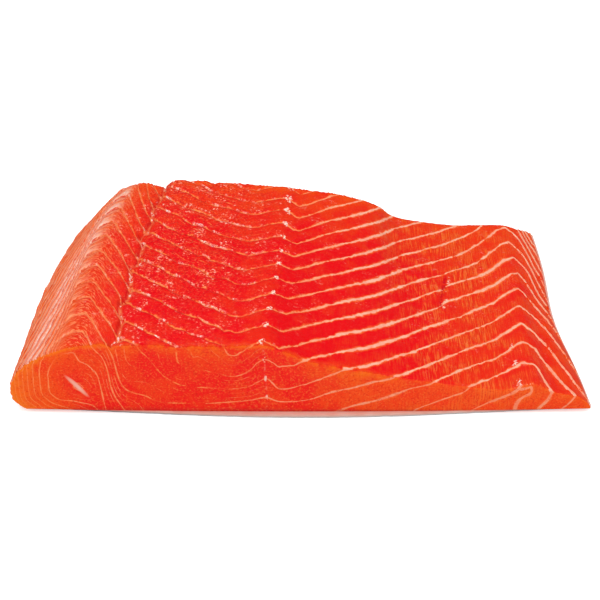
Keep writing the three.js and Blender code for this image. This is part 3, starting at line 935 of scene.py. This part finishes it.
def muscle(tree, place, red, orange, thickness, strength, streaks, wobble):
    """The colour of muscle with its walls, and how far each point is a wall or a strand."""
    wall, warm_edge = wall_lines(tree, place, thickness, wobble)
    cloud, lobes = specks(tree, place, 9, 0.35, 0.65), specks(tree, place, 5, 0.35, 0.6)
    warmth = reckon(tree, "MULTIPLY_ADD", cloud, 0.32, value_of(tree, "warmth"))
    warmth = reckon(tree, "SUBTRACT", warmth, 0.17)
    # Near a rim the muscle is painted more orange, a painted glow of the light that comes back out of the
    # thin edge.
    painted_rim_glow = product(tree, value_of(tree, "rim"), lobes)
    warmth = reckon(tree, "MULTIPLY_ADD", painted_rim_glow, 0.9, warmth, clamp=True)
    base = mixed(tree, warmth, red, orange)
    # Fibres run from wall to wall, so their noise is fine across the fish and long along it.
    patches = spread(tree, specks(tree, place, 9, 0.42, 0.58), 0.25)
    fibres = product(tree, value_of(tree, "fibres"), streaks, patches)
    strands = product(tree, grain_along(tree, 38, 1.2, 0.48, 0.6), fibres)
    base = over(tree, base, DARK_STRAND, grain_along(tree, 27, 0.9, 0.52, 0.44), fibres, 0.9)
    base = over(tree, base, FIBRE, strands)
    # The walls break where torn fibres hide them, and fade with their strength.
    gaps = reckon(tree, "SUBTRACT", 1, specks(tree, place, 4, 0.43, 0.56))
    whole = reckon(tree, "SUBTRACT", 1, product(tree, gaps, value_of(tree, "breaks")))
    shown = product(tree, value_of(tree, "wall_strength"), whole, strength)
    base = over(tree, base, WARM_EDGE, warm_edge, shown, 0.8)
    wall = product(tree, wall, shown)
    return over(tree, base, mixed(tree, value_of(tree, "wall_tone"), THREAD, FAT), wall), wall, strands


def wet_shader(tree, base, roughness, normal, coat):
    shader = node(tree, "BsdfPrincipled", {
        "Base Color": base, "Roughness": roughness, "IOR": SALMON_IOR, "Specular IOR Level": 0.1,
        "Normal": normal, "Coat Normal": normal,
        "Subsurface Weight": 0.2, "Subsurface Radius": (1, 0.25, 0.15), "Subsurface Scale": 2 * MM,
        "Coat Weight": coat, "Coat Roughness": 0.08, "Coat IOR": JUICE_IOR,
    })
    node(tree, "OutputMaterial", {"Surface": shader})


# %% Grains, glinting crumbs, and painted highlights and shade at the walls
GRAIN_DARK, GRAIN_LIGHT, DOT, CRUMB, GLINTING_CRUMB = "CC0E16", "FA5C38", "FF8A5C", "FC9474", "FFE6DC"
STEP_SHADE, BEAD_HIGHLIGHT, BEAD_GLINT = "C00A12", "FFBFAA", "FFF2EC"


def granular(tree, place, base):
    """Torn fibres look like grains: dark and light specks all over, pale clusters here and there, and
    painted glints on the brightest.
    """
    grains = value_of(tree, "grains")
    base = over(tree, base, GRAIN_DARK, specks(tree, place, 0.8, 0.48, 0.39), grains, 0.75)
    base = over(tree, base, GRAIN_LIGHT, specks(tree, place, 0.9, 0.54, 0.61), grains, 0.22)
    base = over(tree, base, DOT, specks(tree, place, 0.7, 0.58, 0.64), grains, 0.5)
    clusters = specks(tree, place, 6, 0.53, 0.61, detail=2)
    base = over(tree, base, CRUMB, specks(tree, place, 0.8, 0.54, 0.6), clusters, grains, 0.8)
    # The brightest crumbs are pale grains that carry painted glints of the wet surface.
    return over(tree, base, GLINTING_CRUMB, specks(tree, place, 0.8, 0.62, 0.67), clusters, grains)


def wall_glints_and_shade(tree, place, base):
    """Painted highlights of juice beads on the step behind each wall, in short runs, and painted shade in
    front of the wall.
    """
    flake_value, glints = value_of(tree, "flake"), value_of(tree, "glints")
    shade = reckon(tree, "PINGPONG", reckon(tree, "SUBTRACT", flake_value, 0.08), 0.5)
    base = over(tree, base, STEP_SHADE, ramp(tree, shade, 0.08, 0.01), glints, 0.45)
    step = reckon(tree, "PINGPONG", reckon(tree, "ADD", flake_value, 0.045), 0.5)
    runs = grain_along(tree, 2.3, 3.7, 0.52, 0.62, whole_walls=True)
    near = product(tree, ramp(tree, step, 0.07, 0.02), glints, runs)
    base = over(tree, base, BEAD_HIGHLIGHT, near, specks(tree, place, 0.8, 0.42, 0.54), 0.8)
    return over(tree, base, BEAD_GLINT, near, specks(tree, place, 0.7, 0.54, 0.62))


# %% Leaves of the steep side
THIN_LEAVES = 3  # thin lines within each leaf
LEAF, LEAF_SHADE, LEAF_HIGHLIGHT, THIN_DARK, THIN_PALE = "FA7028", "E24006", "FFC09C", "DE3C06", "FFC6A4"
SHEEN, SHEEN_GLINT, SHOULDER_DARK, SHOULDER_PALE = "FFD4C8", "FFF4F0", "E42A08", "FF9A64"


def leafy(tree, place, base):
    """The steep side is a pile of leaf edges, each with a painted highlight atop its step and painted shade
    at its foot.
    """
    flank, sheen = value_of(tree, "flank"), value_of(tree, "sheen")
    stray = product(tree, grain_along(tree, 3, 0.7, 0.3, 0.7, numbers="leaf_edges"), 0.08)
    edges = reckon(tree, "ADD", value_of(tree, "leaf_edges"), stray)
    part, thin = reckon(tree, "FRACT", edges), reckon(tree, "FRACT", product(tree, edges, THIN_LEAVES))
    uneven = grain_along(tree, 2.5, 3.3, 0.35, 0.6, whole_walls=True, numbers="leaf_edges")
    pale = product(tree, ramp(tree, part, 0.55, 0.8), spread(tree, uneven, 0.5))
    base = over(tree, base, LEAF, flank, 0.9)
    # Painted shade at the foot of each leaf's step, then a painted highlight at its top.
    base = over(tree, base, LEAF_SHADE, flank, ramp(tree, part, 0.5, 0.25))
    base = over(tree, base, LEAF_HIGHLIGHT, flank, pale, 0.6)
    base = over(tree, base, THIN_DARK, flank, ramp(tree, thin, 0.45, 0.15), 0.75)
    base = over(tree, base, THIN_PALE, flank, ramp(tree, thin, 0.6, 0.85), 0.55)
    strokes = spread(tree, grain_along(tree, 4.5, 14, 0.42, 0.58), 0.3)
    shining = product(tree, sheen, strokes, reckon(tree, "MULTIPLY_ADD", pale, 0.8, 0.2))
    base = over(tree, base, SHEEN, shining)
    base = over(tree, base, SHEEN_GLINT, shining, specks(tree, place, 0.8, 0.5, 0.6), 0.9)
    shoulder = value_of(tree, "shoulder")
    base = over(tree, base, SHOULDER_DARK, grain_along(tree, 3.5, 11, 0.48, 0.38), shoulder, 0.5)
    return over(tree, base, SHOULDER_PALE, grain_along(tree, 4.5, 14, 0.52, 0.6), shoulder, 0.7)


# %% Wet raw salmon, pulled surface
CREASE_SHADE, CREASE_FAT, CREASE_GLINT, FLECK_AND_GLINT = "C00A10", "F88858", "FFDDD2", "FFDCCB"
GASH_SHADE, GASH_LIP, MEMBRANE = "D60A18", "FFC8AC", "FFDCD0"


def seamed(tree, place, base):
    """The crease with its painted shade and glints, the flecks on the centre line, painted glints at the
    ridge, painted shade in the gash, and the belly edge's membrane.
    """
    crease = value_of(tree, "crease")
    base = over(tree, base, CREASE_SHADE, value_of(tree, "crease_shade"), 0.6)
    base = over(tree, base, CREASE_FAT, crease, specks(tree, place, 2, 0.3, 0.5), 0.9)
    glint = product(tree, crease, specks(tree, place, 2.6, 0.5, 0.6), specks(tree, place, 0.8, 0.4, 0.5))
    base = over(tree, base, CREASE_GLINT, ramp(tree, glint, 0.3, 0.6))
    # The flecks, and on the ridge the painted glints stored with them.
    fleck = product(tree, value_of(tree, "flecks"), specks(tree, place, 0.8, 0.44, 0.58))
    base = over(tree, base, FLECK_AND_GLINT, ramp(tree, fleck, 0.2, 0.45))
    # The gash is painted deep red, as shade in the crack.
    gash = product(tree, value_of(tree, "gash"), specks(tree, place, 1.5, 0.36, 0.56))
    base = over(tree, base, GASH_SHADE, ramp(tree, gash, 0.3, 0.75))
    fine, coarse = specks(tree, place, 0.9, 0.45, 0.6), specks(tree, place, 3, 0.45, 0.6)
    lip = product(tree, value_of(tree, "gash_lip"), fine, coarse)
    base = over(tree, base, GASH_LIP, ramp(tree, lip, 0.3, 0.6))
    return over(tree, base, MEMBRANE, value_of(tree, "membrane"), 0.85)


def torn_flesh():
    """Muscle pulled from the bone by hand: wet, granular along the loin, with fibres near the belly."""
    material, tree = new_tree("wet_raw_salmon")
    place = node(tree, "TexCoord", output="Object")
    base, wall, strands = muscle(
        tree, place, RED, ORANGE, thickness=1, strength=1, streaks=0.7, wobble=WOBBLE)
    base = seamed(tree, place, wall_glints_and_shade(tree, place, leafy(tree, place, granular(tree, place, base))))
    height = reckon(tree, "MULTIPLY_ADD", strands, 0.4, rough_noise(tree, place, 0.9, 3, 0.7))
    normal = node(tree, "Bump", {"Height": height, "Strength": 0.6, "Distance": 0.3 * MM})
    wet_shader(tree, base, spread(tree, wall, 0.32, 0.5), normal, coat=0.28)
    return material


# %% Wet raw salmon, cut surface
CUT_DARK, CUT_LIGHT, SEAM, CUT_FLECK, RIM_GLOW = "E21A0E", "FC7A38", "F9A88C", "FFC0AA", "F98A1E"
SEED_EDGE, SEED = "F8A48A", "FFC8B6"
FAT_SEED = RING_CENTRE  # x, z in the stations' millimetres
FAT_SEED_HALF = (5.2, 4, 0.85)  # millimetres
FAT_SEED_TILT = -51  # degrees from the horizontal


def fat_seed(tree, place):
    """The distance from the seed of fat in the front cut, where 1 is the seed's own edge."""
    x, z = (FAT_SEED[0] + SHIFT_X) * MM, FAT_SEED[1] * MM
    seed = node(tree, "Mapping", {
        "Vector": place, "Location": (x, -HALF_LENGTH * MM, z), "Rotation": (0, radians(-FAT_SEED_TILT), 0),
        "Scale": [half * MM for half in FAT_SEED_HALF],
    }, vector_type="TEXTURE")
    return node(tree, "VectorMath", {0: seed}, operation="LENGTH", output="Value")


def knife_cut():
    """Muscle cut with a sharp knife: smoother and more orange, because light leaves it at the rim."""
    material, tree = new_tree("cut_raw_salmon")
    place = node(tree, "TexCoord", output="Object")
    base, wall, _ = muscle(
        tree, place, CUT_RED, CUT_ORANGE, thickness=0.62, strength=0.8, streaks=0.6, wobble=CUT_WOBBLE)
    base = over(tree, base, CUT_DARK, specks(tree, place, 0.7, 0.46, 0.35), 0.5)
    base = over(tree, base, CUT_LIGHT, specks(tree, place, 0.6, 0.5, 0.68), 0.5)
    base = over(tree, base, SEAM, value_of(tree, "seam"), specks(tree, place, 1.5, 0.45, 0.6), 0.4)
    fleck = product(tree, value_of(tree, "flecks"), specks(tree, place, 0.8, 0.4, 0.55))
    base = over(tree, base, CUT_FLECK, ramp(tree, fleck, 0.25, 0.6))
    # A painted glow of light coming back out of the flesh near the rim.
    painted_rim_glow = ramp(tree, value_of(tree, "rim"), 0.3, 0.9)
    base = over(tree, base, RIM_GLOW, painted_rim_glow, value_of(tree, "warmth"), 0.5)
    away = fat_seed(tree, place)
    base = over(tree, base, SEED_EDGE, ramp(tree, away, 1.2, 0.6))
    base = over(tree, base, SEED, ramp(tree, away, 0.8, 0.2), 0.5)
    fine = rough_noise(tree, place, 1.1, 4)
    normal = node(tree, "Bump", {"Height": fine, "Strength": 0.25, "Distance": 0.2 * MM})
    wet_shader(tree, base, spread(tree, wall, 0.3, 0.42), normal, coat=0.3)
    return material


for made in (torn_flesh(), knife_cut()):
    flesh.data.materials.append(made)
    print("material", made.name, "with", len(made.node_tree.nodes), "nodes")

# %% [markdown]
# ## The skin
#
# Under the flesh lies the skin, a tough sheet a millimetre thick. Only its cut edge and a narrow lip
# show as a pale line along the front and the belly side. It starts as a flat grid, is bent to the
# same edges as the construction model, and then gets its thickness with solidify.

# %% The skin
SKIN_ACROSS, SKIN_ALONG = 180, 90
SKIN_RAGGED = 0.25  # millimetres that the knife strays along the skin's edge


def skin_place(a, b):
    """x and y of the skin's sheet, for shares a across the fish and b along it."""
    y = -HALF_LENGTH + b * (2 * HALF_LENGTH + SKIN_REAR_LIP)
    foot, edge = outline(0 * a, y)[0], outline(0 * a + LAST, y)[0] + SKIN_SIDE_LIP
    x = foot + (edge - foot) * a
    front = 1 - smoothstep(b, 0, 0.04)
    stray = SKIN_RAGGED * soft_noise(x / 3.5, y / 3.5) * front
    lip = (SKIN_LIP + SKIN_RECESS) * np.sin(np.pi * a) ** SKIN_LIP_SHARPNESS - SKIN_RECESS
    return x, y - bow(x, y) - front * lip + np.abs(stray)


def make_skin():
    bm = bmesh.new()
    bmesh.ops.create_grid(bm, x_segments=SKIN_ACROSS, y_segments=SKIN_ALONG, size=0.5)
    shares = np.array([(vertex.co.x + 0.5, vertex.co.y + 0.5) for vertex in bm.verts])
    xs, ys = skin_place(shares[:, 0], shares[:, 1])
    for vertex, x, y in zip(bm.verts, xs, ys):
        vertex.co = (x, y, SKIN_THICKNESS)
    bmesh.ops.recalc_face_normals(bm, faces=bm.faces)
    bm.faces.ensure_lookup_table()
    if bm.faces[0].normal.z < 0:
        bmesh.ops.reverse_faces(bm, faces=bm.faces)
    bmesh.ops.solidify(bm, geom=bm.faces, thickness=SKIN_THICKNESS)
    print("skin z, mm:", {round(vertex.co.z, 2) for vertex in bm.verts})
    place_in_frame(bm)
    return finished("salmon_skin", bm)


skin = make_skin()

# %% Silver salmon skin
SLATE, SILVER, GREY, DARK_EDGE, PALE_EDGE = "59666D", "C4C6C4", "8E979A", "E0947F", "F2D0C2"
SLATE_TO, SILVER_FROM = -80 * MM, -20 * MM  # across the fish
SCALES_TO, MEMBRANE_FROM = 0.1 * MM, 0.7 * MM  # up through the skin


def silver_skin():
    """Skin with its scales on: silver towards the belly, slate towards the back, satin and tough."""
    material, tree = new_tree("silver_salmon_skin")
    place = node(tree, "TexCoord", output="Object")
    x, z = (node(tree, "SeparateXYZ", {0: place}, output=axis) for axis in "XZ")
    back = node(tree, "MapRange", {"Value": x, "From Min": SLATE_TO, "From Max": SILVER_FROM})
    below = node(tree, "MapRange", {"Value": z, "From Min": SCALES_TO, "From Max": MEMBRANE_FROM})
    scales = node(tree, "TexVoronoi", {"Vector": place, "Scale": per_mm(3.2)})
    mottle = rough_noise(tree, place, 5, 3, 0.5)
    shine = over(tree, mixed(tree, back, SLATE, SILVER), GREY, mottle, 0.5)
    base = mixed(tree, below, shine, mixed(tree, mottle, DARK_EDGE, PALE_EDGE))
    normal = node(tree, "Bump", {"Height": scales, "Strength": 0.4, "Distance": 0.3 * MM})
    shader = node(tree, "BsdfPrincipled", {
        "Base Color": base, "Roughness": 0.42, "IOR": 1.45, "Normal": normal,
        "Coat Weight": 0.3, "Coat Roughness": 0.2,
    })
    node(tree, "OutputMaterial", {"Surface": shader})
    return material


skin.data.materials.append(silver_skin())
print("skin material:", skin.data.materials[0].name)

# %% [markdown]
# ## The studio
#
# The piece lies on plain white. A wide soft light from above shows its colours, and two weaker ones
# fill in the shadows from the sides. Two small lights behind the piece pick out the wet grains. The
# camera looks down on the front cut at 35 degrees.

# %% Floor
FLOOR_HALF, FLOOR_DROP = 4, 0.2 * MM  # metres
FLOOR_LIFT, FLOOR_DIM = 0.45, 0.85  # how far it glows to the camera, and how dark it is in the wet flesh


def floor_plane():
    bm = bmesh.new()
    bmesh.ops.create_grid(bm, x_segments=1, y_segments=1, size=FLOOR_HALF)
    bmesh.ops.translate(bm, verts=bm.verts, vec=(0, 0, -FLOOR_DROP))
    piece = finished("floor", bm)
    material, tree = new_tree("white_paper")
    fibre = node(tree, "TexNoise", {"Scale": 40, "Detail": 2})
    lift = product(tree, node(tree, "LightPath", output="Is Camera Ray"), FLOOR_LIFT)
    in_mirror = node(tree, "LightPath", output="Is Glossy Ray")
    paper = over(tree, mixed(tree, fibre, "FAFAFA", "FFFFFF"), "000000", in_mirror, FLOOR_DIM)
    shader = node(tree, "BsdfPrincipled", {
        "Base Color": paper, "Roughness": 0.9, "Specular IOR Level": 0.1,
        "Emission Color": (1, 1, 1, 1), "Emission Strength": lift,
    })
    node(tree, "OutputMaterial", {"Surface": shader})
    piece.data.materials.append(material)


floor_plane()


# %% Lights
def soft_light(name, azimuth, elevation, distance, size, power):
    """A square light that faces the piece. Azimuth 0 is behind the camera and 90 is on the right."""
    a, e = radians(azimuth), radians(elevation)
    towards = Vector((np.sin(a) * np.cos(e), -np.cos(a) * np.cos(e), np.sin(e)))
    lamp = bpy.data.lights.new(name, "AREA")
    lamp.size, lamp.energy = size, power
    holder = bpy.data.objects.new(name, lamp)
    holder.location = distance * towards
    holder.rotation_euler = towards.to_track_quat("Z", "Y").to_euler()
    bpy.context.scene.collection.objects.link(holder)
    print(f"{name}: {power} W, {size} m wide")


def white_room(strength, mirrored):
    """White light from all round, but dim in mirrors, so that the wet red stays deep."""
    world = bpy.data.worlds.new("white_room")
    world.use_nodes = True
    tree = world.node_tree
    tree.nodes.clear()
    path = node(tree, "LightPath", output="Is Glossy Ray")
    level = spread(tree, path, strength, mirrored)
    sky = node(tree, "Background", {"Color": (1, 1, 1, 1), "Strength": level})
    node(tree, "OutputWorld", {"Surface": sky})
    bpy.context.scene.world = world
    print(f"{world.name}: strength {strength}, and {mirrored} in mirrors")


white_room(strength=0.65, mirrored=0.03)
soft_light("wide_top", azimuth=-10, elevation=74, distance=1.2, size=0.9, power=4.75)
soft_light("fill_left", azimuth=-80, elevation=30, distance=1, size=0.8, power=0.85)
soft_light("fill_right", azimuth=75, elevation=40, distance=1, size=0.8, power=1.0)
soft_light("back_left", azimuth=212, elevation=55, distance=0.9, size=0.07, power=0.6)
soft_light("back_right", azimuth=165, elevation=62, distance=0.9, size=0.07, power=0.3)
bpy.context.scene.view_settings.view_transform = "Standard"

# %% Camera
VIEW_ELEVATION = 35  # degrees
VIEW_DISTANCE = 0.464  # metres
VIEW_TARGET_Z = 7.1 * MM
FOCAL_LENGTH, SENSOR = 82.8, 36  # millimetres


def camera():
    e = radians(VIEW_ELEVATION)
    data = bpy.data.cameras.new("camera")
    data.lens, data.sensor_width, data.clip_start = FOCAL_LENGTH, SENSOR, 0.01
    holder = bpy.data.objects.new("camera", data)
    target = Vector((SHIFT_X * MM, SHIFT_Y * MM, VIEW_TARGET_Z))
    holder.location = target + VIEW_DISTANCE * Vector((0, -np.cos(e), np.sin(e)))
    holder.rotation_euler = (radians(90 - VIEW_ELEVATION), 0, 0)
    bpy.context.scene.collection.objects.link(holder)
    bpy.context.scene.camera = holder
    print("camera at", [round(c, 3) for c in holder.location])


camera()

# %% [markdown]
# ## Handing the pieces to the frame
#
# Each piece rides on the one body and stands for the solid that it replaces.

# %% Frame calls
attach(flesh, "root")
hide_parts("flesh")
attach(skin, "root")
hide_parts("skin")
